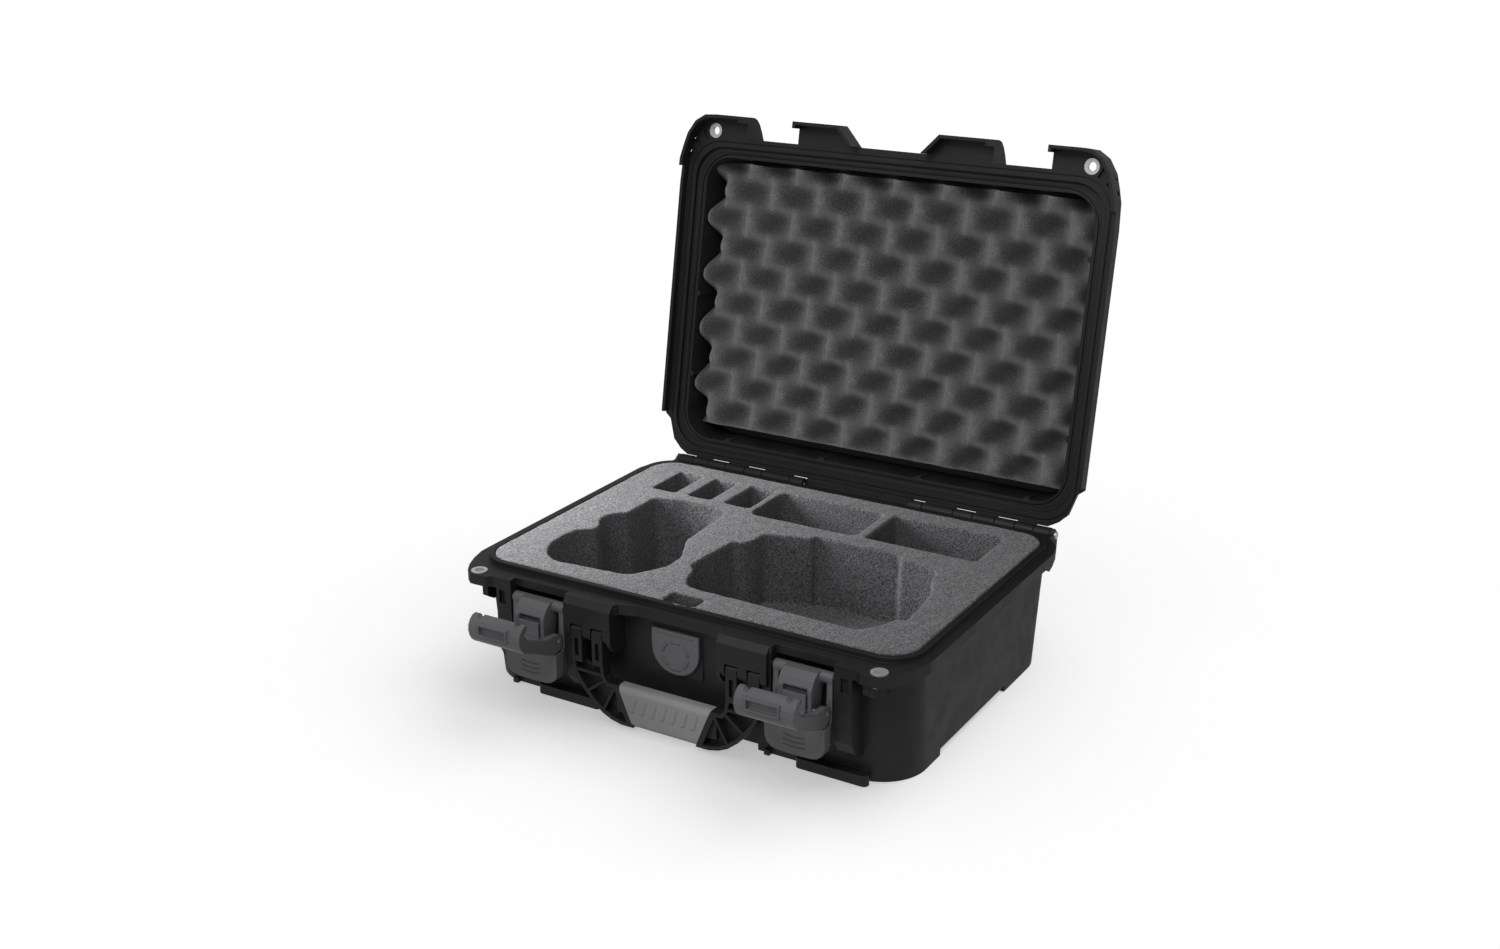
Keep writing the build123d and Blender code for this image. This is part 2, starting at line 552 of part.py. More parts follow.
def latch_claw(centre):
    hood = [
        (33, 4.2), (36.5, 5.4), (39.4, 8), (41.4, 11.5), (42.3, 15.5), (41.8, 19.5),
        (39.8, 22.8), (36.8, 25), (33.6, 25.4), (32.5, 24.5), (34.4, 21.8), (37, 20.3),
        (38.6, 16), (37.6, 11), (34.5, 7.8), (31, 7.4),
    ]
    cheek = [
        (0, 5), (-4, 3), (-5, 0), (-5, -3), (-3.5, -6), (0, -8), (6, -8), (14, -5),
        (24, 0), (34, 4.6), (39.4, 8), (41.4, 11.5), (41.8, 19.5), (38, 21), (33, 13.6),
        (26, 10.6), (14, 6.2),
    ]
    claw = profile_yz(claw_line(hood), centre - CHEEK_OUT, centre + CHEEK_OUT)
    for side in (-1, 1):
        x0, x1 = sorted((centre + side * CHEEK_IN, centre + side * CHEEK_OUT))
        claw += profile_yz(claw_line(cheek), x0, x1)
        notch = (centre + side * NOTCH_X, CLAW_Y - NOTCH_OUT, CLAW_Z + NOTCH_UP)
        claw -= Pos(*notch) * Rot(90, 0, 0) * Cylinder(NOTCH_R, 14)
    x0, x1 = centre + WINDOW_X0, centre + WINDOW_X1
    z0, z1 = CLAW_Z + WINDOW_UP0, CLAW_Z + WINDOW_UP1
    y = CLAW_Y - WINDOW_OUT
    m = WINDOW_RIM
    claw += box(x0 - m, x1 + m, CLAW_Y - WINDOW_RIM_OUT, y + m, z0 - m, z1 + m)
    claw -= box(x0, x1, y - 4, y, z0, z1)
    parting = (CLAW_Y - 43, CLAW_Y - PARTING_OUT, CLAW_Z + PARTING_UP0, CLAW_Z + PARTING_UP1)
    claw -= box(x0, x1 + 4, *parting)
    return claw - rod_x(centre - 30, centre + 30, CLAW_Y, CLAW_Z, PIN_R + FIXED_GAP)


# ---- handle ----------------------------------------------------------------
def grip_outline(grow):
    return [
        (-GRIP_TOP_HALF - grow, GRIP_TOP_Z + grow), (GRIP_TOP_HALF + grow, GRIP_TOP_Z + grow),
        (GRIP_FOOT_HALF + grow, GRIP_FOOT_Z - grow), (-GRIP_FOOT_HALF - grow, GRIP_FOOT_Z - grow),
    ]


def handle_arm(side):
    outline = [
        (49, 44), (74.5, 44), (73.8, 36), (71, 29.5), (65, 21.5), (58, 13.8),
        (50, 7.5), (43, 4.3), (35, 2.5), (20, 2.5), (30, 31.5), (45, 31.5), (48, 35.5),
    ]
    pocket = [
        (51.5, 42), (72, 42), (71.2, 36.5), (68.6, 31), (63, 23.6), (56.4, 16.2),
        (49, 10.4), (42.4, 7.2), (36, 5.6), (30.5, 5.2), (40.2, 28.6), (46.5, 29),
        (50.2, 34.5),
    ]
    flip = [(side * x, z) for x, z in outline]
    arm = profile_xz(flip, ARM_Y0, ARM_Y1)
    hollow = profile_xz([(side * x, z) for x, z in pocket], -140, ARM_WEB_Y)
    for x, z, turn in ARM_RIBS:
        hollow -= Pos(side * x, -137, z) * Rot(0, side * turn, 0) * Box(40, 8, ARM_RIB_T)
    arm -= hollow
    for x0, x1 in FINGERS:
        a, b = span(side, x0, x1)
        arm += box(a, b, ARM_Y0, ARM_Y1, 43, HANDLE_Z)
        arm += rod_x(a, b, HANDLE_Y, HANDLE_Z, HANDLE_KNUCKLE_R)
        middle = (a + b) / 2
        arm -= box(middle - FINGER_SLOT_HALF, middle + FINGER_SLOT_HALF, -141, -136.5, 46, 59)
    slot = Pos(side * CROTCH_X, 0, CROTCH_Z) * Rot(90, 0, 0) * Cylinder(CROTCH_R, 300)
    return arm - slot


def handle_frame():
    frame = handle_arm(1) + handle_arm(-1)
    frame -= profile_xz(grip_outline(CORE_GAP), -142, -126)
    frame += box(*CORE)
    pins = rod_x(-90, -40, HANDLE_Y, HANDLE_Z, PIN_R + RUN_GAP)
    pins += rod_x(40, 90, HANDLE_Y, HANDLE_Z, PIN_R + RUN_GAP)
    return frame - pins


def handle_grip():
    grip = profile_xz(grip_outline(0), GRIP_Y0, GRIP_Y1)
    grip = fillet(grip.edges().filter_by(Axis.X), GRIP_ROUND)
    for i in range(GRIP_RIDGES):
        x = (i - (GRIP_RIDGES - 1) / 2) * GRIP_PITCH
        ridge = Pos(x, GRIP_Y0 + 1.2, 20.5) * Rot(0, RIDGE_TILT, 0)
        grip += ridge * Cylinder(RIDGE_R, RIDGE_LENGTH)
    x0, x1, y0, y1, z0, z1 = CORE
    g = CORE_GAP
    return grip - box(x0 - 5, x1 + 5, y0 - g, y1 + g, z0 - g, z1 + g)


def main():
    os.makedirs("parts", exist_ok=True)
    parts = {
        "base_shell": base_shell(),
        "base_foam_pad": base_foam_pad(),
        "base_foam_insert": base_foam_insert(),
        "valve_housing": valve_housing(),
        "valve_oring": valve_oring(),
        "valve_membrane": valve_membrane(),
        "valve_cover": valve_cover(),
        "lid_shell": opened(lid_shell_closed()),
        "lid_gasket": opened(lid_gasket()),
        "lid_foam": opened(lid_foam()),
        "handle_frame": handle_frame(),
        "handle_grip": handle_grip(),
    }
    for side, name in ((-1, "left"), (1, "right")):
        centre = side * LATCH_X
        parts["base_eyelet_" + name] = eyelet(
            side, FLANGE_Z0 - EYELET_RIM_T, PART_Z + EYELET_RIM_T)
        parts["lid_eyelet_" + name] = opened(eyelet(
            side, LID_PART_Z + EYELET_RIM_T, LID_PLATE_Z + EYELET_RIM_T))
        parts["hinge_pin_" + name] = hinge_pin(side)
        parts["handle_pin_" + name] = rod_x(
            *span(side, 44, 78.8), HANDLE_Y, HANDLE_Z, PIN_R)
        parts["latch_pin_" + name] = rod_x(
            *span(side, 78.6, 130.4), LEVER_Y, LEVER_Z, PIN_R)
        parts["latch_lever_" + name] = latch_lever(centre)
        parts["slide_lock_" + name] = slide_lock(centre)
        parts["latch_claw_" + name] = latch_claw(centre)
        parts["claw_pin_" + name] = rod_x(centre - 21, centre + 21, CLAW_Y, CLAW_Z, PIN_R)
    for node, shape in parts.items():
        solids = shape.solids()
        extent = shape.bounding_box()
        print(node, len(solids), shape.is_valid, round(shape.volume), extent.min, extent.max)
        export_step(shape, "parts/" + node + ".step")


main()
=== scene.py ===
import math

import bpy
from mathutils import Matrix, Vector, noise

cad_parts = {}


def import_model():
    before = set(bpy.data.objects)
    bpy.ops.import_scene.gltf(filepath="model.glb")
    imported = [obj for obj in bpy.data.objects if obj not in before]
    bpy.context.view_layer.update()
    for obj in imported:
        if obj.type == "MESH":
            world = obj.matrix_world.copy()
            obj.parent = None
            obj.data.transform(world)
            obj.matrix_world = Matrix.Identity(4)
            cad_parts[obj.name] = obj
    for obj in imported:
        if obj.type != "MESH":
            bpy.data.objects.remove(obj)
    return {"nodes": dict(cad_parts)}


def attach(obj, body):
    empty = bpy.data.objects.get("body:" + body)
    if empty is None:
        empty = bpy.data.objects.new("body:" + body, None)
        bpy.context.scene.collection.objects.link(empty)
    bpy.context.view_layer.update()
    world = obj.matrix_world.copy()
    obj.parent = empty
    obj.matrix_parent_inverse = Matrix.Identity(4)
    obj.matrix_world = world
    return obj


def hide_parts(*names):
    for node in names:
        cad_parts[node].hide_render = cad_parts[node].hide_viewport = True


# Looks of an open carrying case with a foam insert.  Sizes are in millimetres
# in the frame's axes unless a line says metres; the foam of the lid is shaped
# with the lid closed and then swung open about the hinge.

MM = 0.001
HINGE_Y, HINGE_Z = 134.05, 86.5
OPEN_ANGLE = math.radians(100.57)
NOISE_SEED = 5

# ---- camera (metres, degrees, millimetres of lens) -------------------------
CAMERA_AT = (0.59884, -1.02042, 0.58372)
CAMERA_AZIMUTH, CAMERA_ELEVATION, CAMERA_ROLL = 31.054, 20.29, 0.291
CAMERA_LENS = 42.79
SENSOR_WIDTH = 36

# ---- light (metres, watts) -------------------------------------------------
WORLD_LIGHT, BACKDROP = 0.38, 1.0
FLOOR_GLOW = 0.42
FLOOR_SUN, FLOOR_SUN_ANGLE, FLOOR_SUN_FROM = 1.1, 55, (0.3, 0.55, 1)
INSERT_LAMP = {"at": (-0.36, -0.05, 0.26), "target": (0, 0.05, 0.12), "size": 0.2, "power": 3.6}
FRONT_LAMP = {"at": (0.1, -1.0, 1.3), "target": (0, 0.1, 0.2), "size": 0.6, "power": 9}
LID_LAMP = {"at": (-0.6, -1.0, 0.12), "target": (0, 0.15, 0.26), "size": 0.5, "power": 21}
FLOOR_HALF, FLOOR_Z = 9000, -0.3

# ---- foam insert -----------------------------------------------------------
FOAM_HX, FOAM_HY, FOAM_R = 167.1, 116.6, 21.0
FOAM_Z0, FOAM_Z1 = 15.0, 91.5
FOAM_TAPER = 2.5
FOAM_EDGE = 0.9
FOAM_VOXEL = 1.3
PLUG_MARGIN, PLUG_EDGE = 1, 0.2
BROAD_WOBBLE, BROAD_WOBBLE_SCALE = 0.28, 90
FINE_WOBBLE, FINE_WOBBLE_SCALE = 0.12, 400

DRONE_OUTLINE = [
    (-125, 40), (-100, 47), (-80, 47), (-62, 43), (-59.5, 18), (-58, -20),
    (-44, -48), (-43, -67), (-58, -93), (-111, -98), (-118, -98), (-129, -92),
    (-136, -82), (-140, -70), (-140.5, -60), (-138, -44), (-132, -39), (-127, -36),
    (-129, -28), (-135, -20), (-136, -10), (-133, -2), (-126, 3), (-125, 5),
]
CONTROLLER_OUTLINE = [
    (-30, -58), (-28, -20), (-26, -5), (-19, -4), (-15, 5), (-14, 18), (0, 23),
    (20, 27.5), (20.5, 33), (89, 32.5), (92, 27), (110, 24), (124, 19.5), (127, 2),
    (133, -7), (136, -17), (139, -40), (141, -63), (134, -65), (131, -75),
    (126, -84), (119, -92), (0, -90), (-13, -88), (-20, -77), (-23, -63),
]
ACCESSORY_OUTLINE = [
    (-41, 48), (40, 48), (44, 52), (44, 95), (40, 99), (-41, 99), (-45, 95), (-45, 52),
]
NOTCH_BOX = (-15, 11, -120, -102)
HUB_BOX = (52, 140, 49, 99)
BATTERY_X = ((-139, -118), (-106, -86), (-73, -51))
BATTERY_Y = (57, 99)
DEEP_FLOOR_Z, MIDDLE_FLOOR_Z, BATTERY_FLOOR_Z, NOTCH_FLOOR_Z = 31.5, 36.5, 41.5, 46.5

# ---- pad under the insert --------------------------------------------------
PAD_HX, PAD_HY, PAD_R = 157.4, 107.4, 21
PAD_Z0, PAD_Z1, PAD_EDGE = 4.2, 14.6, 0.8

# ---- lid foam, lid closed --------------------------------------------------
EGG_X0, EGG_X1, EGG_Y0, EGG_Y1 = -161.0, 161.0, -109.5, 103.5
EGG_BACK_Z, EGG_PEAK_Z, EGG_VALLEY_Z = 125.4, 93.3, 123.0
EGG_PERIOD_X, EGG_ROW_Y = 42.2, 22.5
EGG_PHASE_X, EGG_PHASE_Y = -101.5, 92.5
EGG_FLATNESS = 0.2
EGG_STEP = 1.3
EGG_DRIFT, EGG_DRIFT_SCALE, EGG_DRIFT_LAYER = 1.6, 0.03, 9
EGG_LUMP, EGG_LUMP_SCALE, EGG_LUMP_LAYER = 0.6, 0.11, 3


# ---- material nodes --------------------------------------------------------
class Nodes:
    def __init__(self, name):
        self.material = bpy.data.materials.new(name)
        self.material.use_nodes = True
        self.tree = self.material.node_tree
        self.shader = self.tree.nodes["Principled BSDF"]
        coords = self.add("ShaderNodeTexCoord")
        self.coords = coords.outputs["Object"]

    def add(self, kind, **values):
        node = self.tree.nodes.new(kind)
        for key, value in values.items():
            setattr(node, key, value)
        return node

    def link(self, a, b):
        self.tree.links.new(a, b)

    def set(self, **values):
        for key, value in values.items():
            self.shader.inputs[key.replace("_", " ")].default_value = value

    def noise(self, scale, detail=3.0, rough=0.5):
        node = self.add("ShaderNodeTexNoise")
        node.inputs["Scale"].default_value = scale
        node.inputs["Detail"].default_value = detail
        node.inputs["Roughness"].default_value = rough
        self.link(self.coords, node.inputs["Vector"])
        return node.outputs["Fac"]

    def cells(self, scale):
        node = self.add("ShaderNodeTexVoronoi")
        node.inputs["Scale"].default_value = scale
        self.link(self.coords, node.inputs["Vector"])
        return node.outputs["Distance"]

    def spread(self, value, low, high, to_low=0.0, to_high=1.0):
        node = self.add("ShaderNodeMapRange")
        for key, number in (("From Min", low), ("From Max", high),
                            ("To Min", to_low), ("To Max", to_high)):
            node.inputs[key].default_value = number
        self.link(value, node.inputs["Value"])
        return node.outputs["Result"]

    def mix(self, factor, a, b):
        node = self.add("ShaderNodeMix", data_type="RGBA")
        self.link(factor, node.inputs["Factor"])
        sockets = [s for s in node.inputs if s.type == "RGBA"]
        for socket, colour in zip(sockets, (a, b)):
            if isinstance(colour, tuple):
                socket.default_value = (*colour, 1.0)
            else:
                self.link(colour, socket)
        return [s for s in node.outputs if s.type == "RGBA"][0]

    def bump(self, height, strength, distance, below=None):
        node = self.add("ShaderNodeBump")
        node.inputs["Strength"].default_value = strength
        node.inputs["Distance"].default_value = distance
        self.link(height, node.inputs["Height"])
        if below is not None:
            self.link(below, node.inputs["Normal"])
        return node.outputs["Normal"]

    def rounded_edges(self, radius):
        node = self.add("ShaderNodeBevel")
        node.samples = 6
        node.inputs["Radius"].default_value = radius * MM
        return node.outputs["Normal"]

    def finish(self, colour, roughness, normal):
        self.link(colour, self.shader.inputs["Base Color"])
        self.link(roughness, self.shader.inputs["Roughness"])
        self.link(normal, self.shader.inputs["Normal"])
        return self.material


def scaled(factor, colour):
    return tuple(min(1, factor * c) for c in colour)


def moulded(name, dark, light, rough, shine=0.4, edge=0.7):
    """Moulded plastic or rubber: broad tone, fine grain, handled patches, soft edges."""
    n = Nodes(name)
    rounded = n.rounded_edges(edge)
    broad = n.spread(n.noise(9.0, detail=4.0), 0.35, 0.65)
    grain = n.noise(1400.0, detail=2.0)
    handled = n.spread(n.noise(55.0, detail=6.0, rough=0.65), 0.4, 0.75)
    colour = n.mix(broad, dark, light)
    specks = n.spread(grain, 0.62, 0.8, to_high=0.35)
    colour = n.mix(specks, colour, scaled(2.2, light))
    roughness = n.spread(handled, 0.0, 1.0, *rough)
    waves = n.bump(n.noise(22.0, detail=2.0), 0.25, 0.0006, below=rounded)
    normal = n.bump(grain, 0.35, 0.00012, below=waves)
    n.set(Specular_IOR_Level=shine)
    return n.finish(colour, roughness, normal)


def foam(name, dark, light, pore_scale, depth):
    """Open-cell foam: speckled grain, with painted shade darkening the pores; grain and pores both
    also in the relief.
    """
    n = Nodes(name)
    grain = n.noise(pore_scale, detail=5.0, rough=0.7)
    pores = n.cells(pore_scale * 1.25)
    broad = n.spread(n.noise(14.0), 0.3, 0.7, to_high=0.3)
    speck = n.spread(grain, 0.38, 0.64)
    colour = n.mix(speck, dark, light)
    # painted shade: the colour goes darker inside the pores, where shade falls into the cells
    colour = n.mix(n.spread(pores, 0.0, 0.28, to_low=0.75, to_high=0.0), colour, scaled(0.35, dark))
    colour = n.mix(broad, colour, tuple(0.5 * (a + b) for a, b in zip(dark, light)))
    roughness = n.spread(grain, 0.0, 1.0, 0.85, 1.0)
    deep = n.bump(pores, 0.6, depth)
    normal = n.bump(grain, 0.7, depth * 1.2, below=deep)
    n.set(Specular_IOR_Level=0.15, Sheen_Weight=0.12)
    return n.finish(colour, roughness, normal)


def metal(name):
    n = Nodes(name)
    brushed = n.noise(900.0, detail=6.0)
    tone = n.spread(n.noise(120.0), 0.3, 0.7)
    colour = n.mix(tone, (0.8, 0.8, 0.78), (0.9, 0.89, 0.87))
    roughness = n.spread(brushed, 0.2, 0.8, 0.22, 0.4)
    n.set(Metallic=0.75)
    return n.finish(colour, roughness, n.bump(brushed, 0.05, 0.00002))


def floor_material():
    n = Nodes("floor_paper")
    grain = n.noise(300.0)
    colour = n.mix(grain, (0.86, 0.86, 0.86), (0.9, 0.9, 0.9))
    roughness = n.spread(grain, 0.0, 1.0, 0.85, 0.95)
    n.set(Specular_IOR_Level=0.0, Emission_Color=(1, 1, 1, 1), Emission_Strength=FLOOR_GLOW)
    return n.finish(colour, roughness, n.bump(grain, 0.05, 0.0001))


def case_materials():
    return {
        "resin": moulded("case_resin", (0.009, 0.009, 0.0095), (0.013, 0.013, 0.0138),
                         rough=(0.42, 0.56), shine=0.42),
        "latch": moulded("latch_plastic", (0.09, 0.091, 0.094), (0.126, 0.127, 0.132),
                         rough=(0.26, 0.4), shine=0.6, edge=1.5),
        "grip": moulded("grip_rubber", (0.23, 0.23, 0.235), (0.31, 0.31, 0.316), rough=(0.5, 0.65)),
        "rubber": moulded("seal_rubber", (0.01, 0.01, 0.01), (0.02, 0.02, 0.02), rough=(0.55, 0.7)),
        "valve": moulded("valve_plastic", (0.016, 0.016, 0.017), (0.03, 0.03, 0.032),
                         rough=(0.3, 0.45)),
        "membrane": moulded("membrane_white", (0.7, 0.7, 0.69), (0.8, 0.8, 0.79),
                            rough=(0.6, 0.75)),
        "steel": metal("steel"),
        "foam": foam("case_foam", (0.02, 0.02, 0.021), (0.17, 0.17, 0.176),
                     pore_scale=760.0, depth=0.0005),
        "lid_foam": foam("lid_foam_grey", (0.035, 0.035, 0.036), (0.12, 0.12, 0.124),
                         pore_scale=1000.0, depth=0.0003),
    }


# ---- geometry helpers ------------------------------------------------------
def new_object(name, vertices, faces, material, smooth=True):
    mesh = bpy.data.meshes.new(name)
    mesh.from_pydata([Vector(v) * MM for v in vertices], [], faces)
    mesh.update()
    mesh.polygons.foreach_set("use_smooth", [smooth] * len(mesh.polygons))
    thing = bpy.data.objects.new(name, mesh)
    bpy.context.scene.collection.objects.link(thing)
    thing.data.materials.append(material)
    return thing


def only_material(thing, material):
    thing.data.materials.clear()
    thing.data.materials.append(material)


def corner(before, at, after, radius, steps=5):
    """Points that round one corner of an outline with a quadratic curve."""
    a, b = Vector(before) - Vector(at), Vector(after) - Vector(at)
    reach = min(radius, 0.45 * a.length, 0.45 * b.length)
    start = Vector(at) + a.normalized() * reach
    end = Vector(at) + b.normalized() * reach
    line = []
    for i in range(steps + 1):
        t = i / steps
        point = start * (1 - t) ** 2 + Vector(at) * 2 * t * (1 - t) + end * t * t
        line.append((point.x, point.y))
    return line


def soft_outline(points, radius):
    line = []
    for i, at in enumerate(points):
        line += corner(points[i - 1], at, points[(i + 1) % len(points)], radius)
    return line


def rectangle(x0, x1, y0, y1):
    return [(x0, y0), (x1, y0), (x1, y1), (x0, y1)]


def rounded_rectangle(hx, hy, radius, steps=10):
    line = []
    for sx, sy, start in ((1, 1, 0), (-1, 1, 90), (-1, -1, 180), (1, -1, 270)):
        for i in range(steps + 1):
            angle = math.radians(start + 90 * i / steps)
            line.append((sx * (hx - radius) + radius * math.cos(angle),
                         sy * (hy - radius) + radius * math.sin(angle)))
    return line


def add_spline(curve, points):
    spline = curve.splines.new("POLY")
    spline.points.add(len(points) - 1)
    for target, (x, y) in zip(spline.points, points):
        target.co = (x * MM, y * MM, 0, 1)
    spline.use_cyclic_u = True


def block_with_holes(name, outer, holes, z0, z1, edge):
    curve = bpy.data.curves.new(name, "CURVE")
    curve.dimensions = "2D"
    curve.fill_mode = "BOTH"
    for line in [outer] + holes:
        add_spline(curve, line)
    curve.extrude = ((z1 - z0) / 2 - edge) * MM
    curve.bevel_depth = edge * MM
    curve.bevel_resolution = 2
    curve.offset = -edge * MM
    thing = bpy.data.objects.new(name, curve)
    bpy.context.scene.collection.objects.link(thing)
    thing.location.z = (z0 + z1) / 2 * MM
    bpy.context.view_layer.update()
    return as_mesh(thing)


def as_mesh(thing):
    """The same object with its modifiers and its placing applied to a plain mesh."""
    mesh = bpy.data.meshes.new_from_object(
        thing.evaluated_get(bpy.context.evaluated_depsgraph_get()))
    mesh.transform(thing.matrix_world)
    name = thing.name
    bpy.data.objects.remove(thing)
    made = bpy.data.objects.new(name, mesh)
    bpy.context.scene.collection.objects.link(made)
    return made


def join(things):
    with bpy.context.temp_override(active_object=things[0], selected_editable_objects=things,
                                   selected_objects=things):
        bpy.ops.object.join()
    return things[0]


def lid_opened():
    to_hinge = Matrix.Translation((0, HINGE_Y * MM, HINGE_Z * MM))
    return to_hinge @ Matrix.Rotation(-OPEN_ANGLE, 4, "X") @ to_hinge.inverted()


# ---- foam insert -----------------------------------------------------------
def pockets():
    """Every pocket as its outline, the height of its floor and its corner radius."""
    cut = [
        (DRONE_OUTLINE, DEEP_FLOOR_Z, 5.0),
        (CONTROLLER_OUTLINE, MIDDLE_FLOOR_Z, 4.0),
        (ACCESSORY_OUTLINE, MIDDLE_FLOOR_Z, 3.0),
        (rectangle(*NOTCH_BOX), NOTCH_FLOOR_Z, 2.0),
    ]
    for x0, x1 in BATTERY_X:
        cut.append((rectangle(x0, x1, *BATTERY_Y), BATTERY_FLOOR_Z, 2.5))
    cut.append((rectangle(*HUB_BOX), DEEP_FLOOR_Z, 3.0))
    return cut


def pocket_floor(index, points, floor_z):
    xs, ys = [p[0] for p in points], [p[1] for p in points]
    outline = rectangle(min(xs) - PLUG_MARGIN, max(xs) + PLUG_MARGIN,
                        min(ys) - PLUG_MARGIN, max(ys) + PLUG_MARGIN)
    return block_with_holes("floor_%d" % index, outline, [], FOAM_Z0, floor_z, PLUG_EDGE)


def tapered_and_uneven(co):
    """A point of the insert, drawn in towards the bottom and moved a little at random."""
    below = (FOAM_Z1 - co.z / MM) / (FOAM_Z1 - FOAM_Z0)
    co.x *= 1 - FOAM_TAPER * below / FOAM_HX
    co.y *= 1 - FOAM_TAPER * below / FOAM_HY
    broad = noise.noise_vector(co * BROAD_WOBBLE_SCALE) * BROAD_WOBBLE
    fine = noise.noise_vector(co * FINE_WOBBLE_SCALE) * FINE_WOBBLE
    return co + (broad + fine) * MM


def foam_insert(material):
    outer = rounded_rectangle(FOAM_HX, FOAM_HY, FOAM_R)
    cut = pockets()
    holes = [soft_outline(points, radius) for points, _, radius in cut]
    block = block_with_holes("base_foam", outer, holes, FOAM_Z0, FOAM_Z1, FOAM_EDGE)
    floors = [pocket_floor(i, points, floor_z) for i, (points, floor_z, _) in enumerate(cut)]
    whole = join([block] + floors)
    remesh = whole.modifiers.new("remesh", "REMESH")
    remesh.mode = "VOXEL"
    remesh.voxel_size = FOAM_VOXEL * MM
    whole = as_mesh(whole)
    for v in whole.data.vertices:
        v.co = tapered_and_uneven(v.co)
    whole.data.polygons.foreach_set("use_smooth", [True] * len(whole.data.polygons))
    only_material(whole, material)
    return whole


def foam_pad(material):
    outline = rounded_rectangle(PAD_HX, PAD_HY, PAD_R)
    pad = block_with_holes("floor_pad", outline, [], PAD_Z0, PAD_Z1, PAD_EDGE)
    only_material(pad, material)
    return pad


# ---- egg-crate foam in the lid ---------------------------------------------
def egg_height(x, y):
    drift = noise.noise_vector(Vector((x, y, EGG_DRIFT_LAYER)) * EGG_DRIFT_SCALE) * EGG_DRIFT
    kx = 2 * math.pi * (x + drift.x - EGG_PHASE_X) / EGG_PERIOD_X
    ky = math.pi * (y + drift.y - EGG_PHASE_Y) / EGG_ROW_Y
    wave = math.cos(kx) * math.cos(ky)
    rise = wave * (1 + EGG_FLATNESS - EGG_FLATNESS * wave * wave)
    middle = (EGG_PEAK_Z + EGG_VALLEY_Z) / 2
    swing = (EGG_VALLEY_Z - EGG_PEAK_Z) / 2
    lump = noise.noise(Vector((x, y, EGG_LUMP_LAYER)) * EGG_LUMP_SCALE)
    return middle - swing * rise + EGG_LUMP * lump


def egg_crate(material):
    nx = int((EGG_X1 - EGG_X0) / EGG_STEP)
    ny = int((EGG_Y1 - EGG_Y0) / EGG_STEP)
    vertices, faces = [], []
    for back in (False, True):
        for j in range(ny + 1):
            for i in range(nx + 1):
                x = EGG_X0 + (EGG_X1 - EGG_X0) * i / nx
                y = EGG_Y0 + (EGG_Y1 - EGG_Y0) * j / ny
                z = EGG_BACK_Z if back else egg_height(x, y)
                vertices.append((x, y, z))
    layer = (nx + 1) * (ny + 1)

    def at(i, j, back=0):
        return back * layer + j * (nx + 1) + i

    for j in range(ny):
        for i in range(nx):
            faces.append((at(i, j), at(i, j + 1), at(i + 1, j + 1), at(i + 1, j)))
            faces.append((at(i, j, 1), at(i + 1, j, 1), at(i + 1, j + 1, 1), at(i, j + 1, 1)))
    for i in range(nx):
        faces.append((at(i, 0), at(i + 1, 0), at(i + 1, 0, 1), at(i, 0, 1)))
        faces.append((at(i + 1, ny), at(i, ny), at(i, ny, 1), at(i + 1, ny, 1)))
    for j in range(ny):
        faces.append((at(0, j + 1), at(0, j), at(0, j, 1), at(0, j + 1, 1)))
        faces.append((at(nx, j), at(nx, j + 1), at(nx, j + 1, 1), at(nx, j, 1)))
    thing = new_object("lid_egg_crate", vertices, faces, material)
    thing.data.transform(lid_opened())
    return thing


# ---- studio ----------------------------------------------------------------
def light_group(name, thing, state):
    """A collection that a lamp lights alone (INCLUDE) or leaves out (EXCLUDE)."""
    group = bpy.data.collections.new(name)
    group.objects.link(thing)
    group.collection_objects[0].light_linking.link_state = state
    return group


def area_light(name, lit, at, target, size, power):
    data = bpy.data.lights.new(name, "AREA")
    data.energy = power
    data.size = size
    lamp = bpy.data.objects.new(name, data)
    lamp.location = at
    lamp.visible_camera = False
    lamp.light_linking.receiver_collection = lit
    lamp.rotation_euler = (Vector(target) - Vector(at)).to_track_quat("-Z", "Y").to_euler()
    bpy.context.scene.collection.objects.link(lamp)


def floor_sun(lit):
    data = bpy.data.lights.new("floor_sun", "SUN")
    data.energy = FLOOR_SUN
    data.angle = math.radians(FLOOR_SUN_ANGLE)
    lamp = bpy.data.objects.new("floor_sun", data)
    lamp.light_linking.receiver_collection = lit
    lamp.rotation_euler = Vector(FLOOR_SUN_FROM).to_track_quat("Z", "Y").to_euler()
    bpy.context.scene.collection.objects.link(lamp)


def surroundings():
    """Even white light, with a brighter backdrop where the camera sees it directly."""
    world = bpy.data.worlds.new("studio")
    world.use_nodes = True
    tree = world.node_tree
    background = tree.nodes["Background"]
    background.inputs["Color"].default_value = (1, 1, 1, 1)
    rays = tree.nodes.new("ShaderNodeLightPath")
    strength = tree.nodes.new("ShaderNodeMapRange")
    strength.inputs["To Min"].default_value = WORLD_LIGHT
    strength.inputs["To Max"].default_value = BACKDROP
    tree.links.new(rays.outputs["Is Camera Ray"], strength.inputs["Value"])
    tree.links.new(strength.outputs["Result"], background.inputs["Strength"])
    bpy.context.scene.world = world


def studio_floor():
    corners = [(x, y, FLOOR_Z) for x, y in rectangle(-FLOOR_HALF, FLOOR_HALF, -FLOOR_HALF, FLOOR_HALF)]
    floor = new_object("floor", corners, [(0, 1, 2, 3)], floor_material(), smooth=False)
    floor.visible_diffuse = False
    floor.visible_glossy = False
    return floor


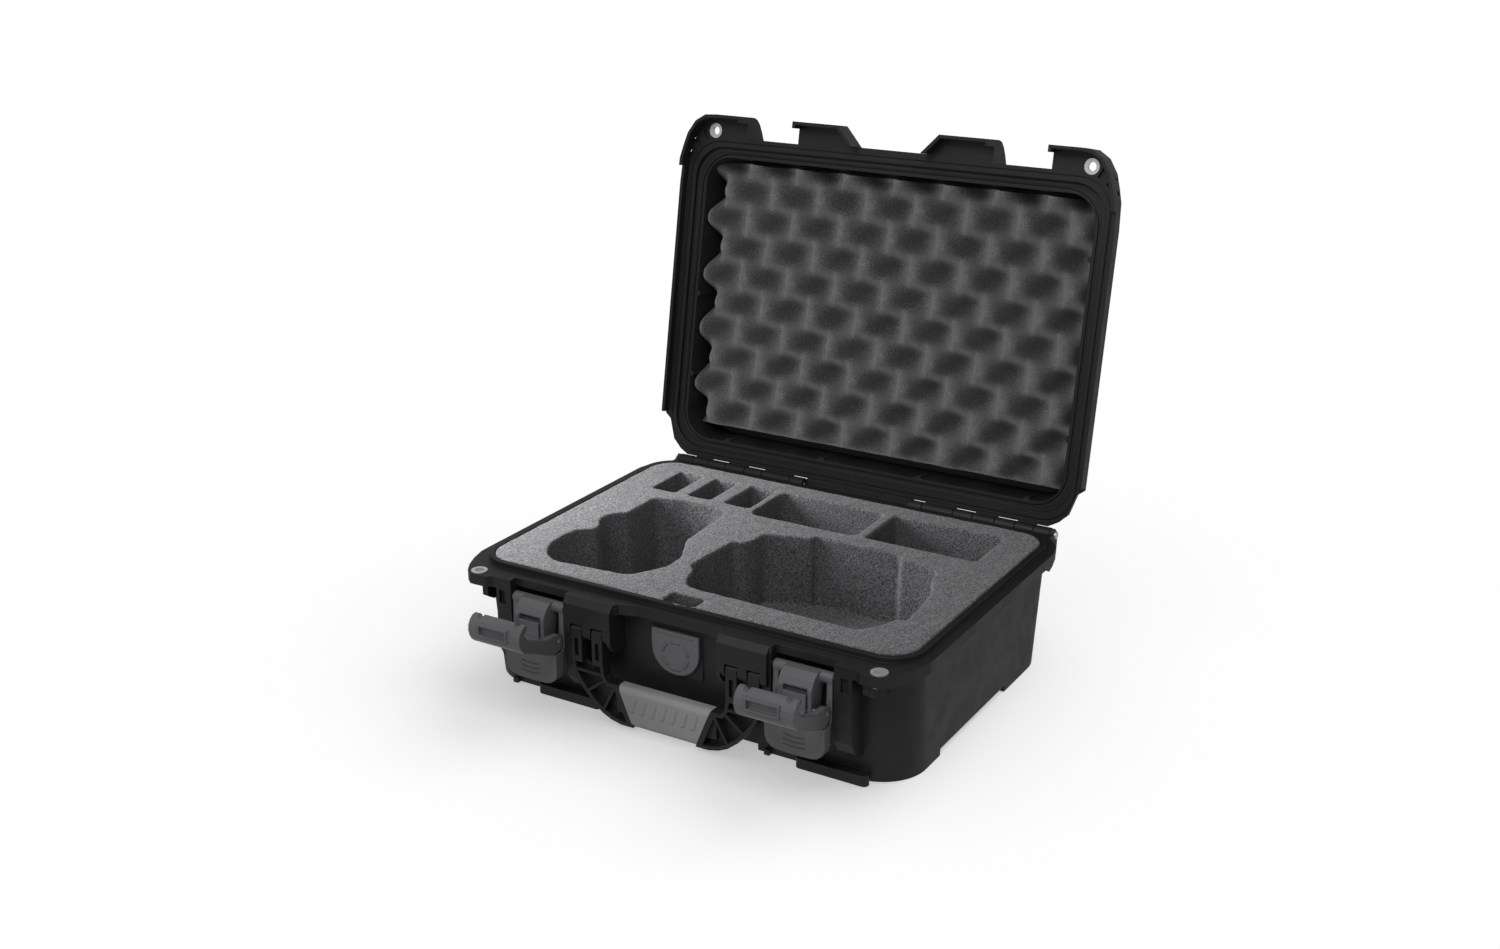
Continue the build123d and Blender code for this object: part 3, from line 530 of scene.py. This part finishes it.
def studio(insert, crate):
    surroundings()
    floor = studio_floor()
    all_but_floor = light_group("not_the_floor", floor, "EXCLUDE")
    insert_only = light_group("insert_only", insert, "INCLUDE")
    crate_only = light_group("crate_only", crate, "INCLUDE")
    floor_only = light_group("floor_only", floor, "INCLUDE")
    area_light("key", insert_only, **INSERT_LAMP)
    floor_sun(floor_only)
    area_light("front", all_but_floor, **FRONT_LAMP)
    area_light("lid", crate_only, **LID_LAMP)


def camera():
    az, el, roll = (math.radians(a) for a in (CAMERA_AZIMUTH, CAMERA_ELEVATION, CAMERA_ROLL))
    back = Vector((math.sin(az) * math.cos(el), -math.cos(az) * math.cos(el), math.sin(el)))
    right = Vector((0, 0, 1)).cross(back).normalized()
    up = back.cross(right)
    c, s = math.cos(roll), math.sin(roll)
    rows = (c * right - s * up, s * right + c * up, back)
    data = bpy.data.cameras.new("camera")
    data.lens = CAMERA_LENS
    data.sensor_width = SENSOR_WIDTH
    view = bpy.data.objects.new("camera", data)
    turn = Matrix(rows).transposed().to_4x4()
    view.matrix_world = Matrix.Translation(CAMERA_AT) @ turn
    bpy.context.scene.collection.objects.link(view)
    bpy.context.scene.camera = view


# ---- the whole case --------------------------------------------------------
def look_of(name):
    if name.startswith(("latch_lever", "slide_lock", "latch_claw")) or name == "valve_cover":
        return "latch"
    if "_pin_" in name or "eyelet" in name:
        return "steel"
    if name == "handle_grip":
        return "grip"
    if name in ("lid_gasket", "valve_oring"):
        return "rubber"
    if name == "valve_membrane":
        return "membrane"
    if name.startswith("valve"):
        return "valve"
    return "resin"


def main():
    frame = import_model()
    noise.seed_set(NOISE_SEED)
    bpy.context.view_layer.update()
    materials = case_materials()
    for name, thing in frame["nodes"].items():
        only_material(thing, materials[look_of(name)])
    insert = foam_insert(materials["foam"])
    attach(insert, "base")
    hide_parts("base_foam_insert")
    pad = foam_pad(materials["foam"])
    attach(pad, "base")
    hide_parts("base_foam_pad")
    crate = egg_crate(materials["lid_foam"])
    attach(crate, "lid")
    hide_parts("lid_foam")
    studio(insert, crate)
    camera()
    bpy.context.scene.view_settings.view_transform = "Standard"


main()
